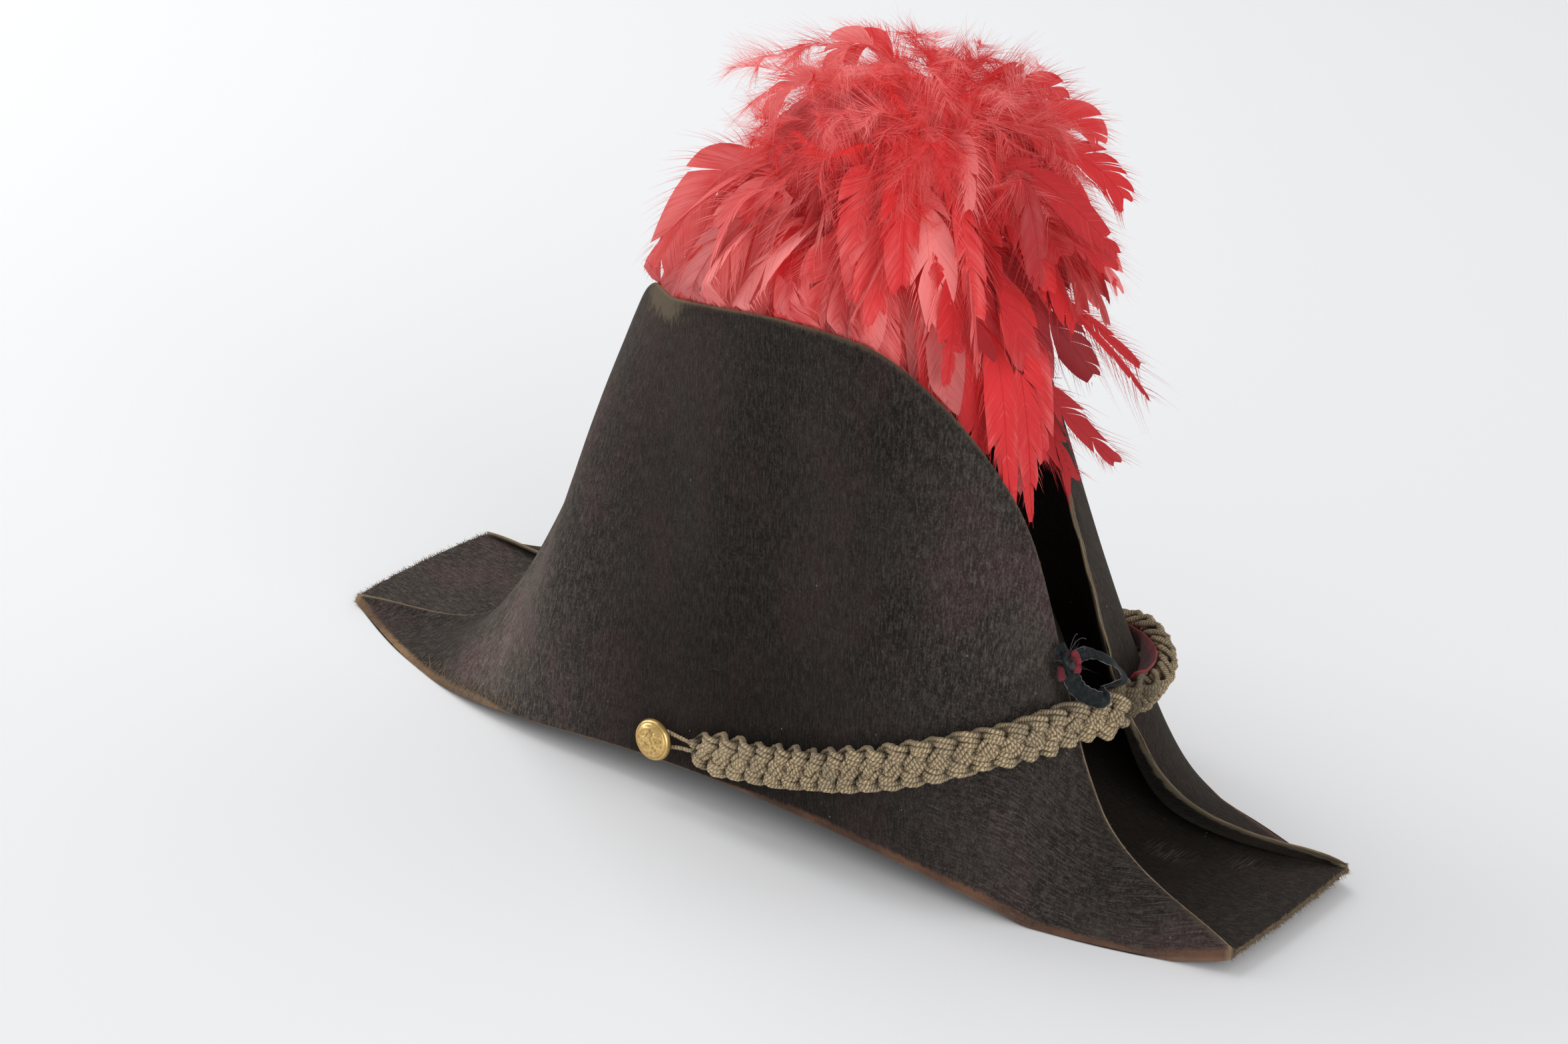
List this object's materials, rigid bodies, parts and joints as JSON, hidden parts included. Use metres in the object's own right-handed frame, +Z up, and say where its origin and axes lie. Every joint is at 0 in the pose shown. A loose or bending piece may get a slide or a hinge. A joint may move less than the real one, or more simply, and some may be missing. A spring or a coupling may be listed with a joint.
{
  "type": "bicorne hat",
  "caption": "Fore-and-aft felt bicorne with tall turned-up flaps, cut-off peaks, a plaited cord held by gilt buttons, and a drooping feather plume; open below for a head.",
  "frame": {"origin": "on the surface it rests on, under the middle of the hat's length and width", "axes": "+X to the hat's front, +Y to the wearer's left, +Z up"},
  "size_m": [0.415, 0.1564, 0.2751],
  "materials": {
    "felt": "brushed dark felt, worn brown at its folds",
    "cord": "plaited tan and grey cord, matt",
    "red_cloth": "red cloth, matt",
    "gilt": "gilt, softly polished",
    "ribbon": "narrow black silk ribbon",
    "feathers": "faded red feathers",
    "wire": "dark bound wire"
  },
  "bodies": {
    "root": {"crown": "felt", "brim": "felt", "left_flap": "felt", "right_flap": "felt", "braid": "cord", "braid_backing": "red_cloth", "left_button": "gilt", "right_button": "gilt", "left_button_loop": "cord", "right_button_loop": "cord", "ribbon_tie": "ribbon", "plume": "feathers", "plume_stem": "wire"}
  },
  "joints": []
}
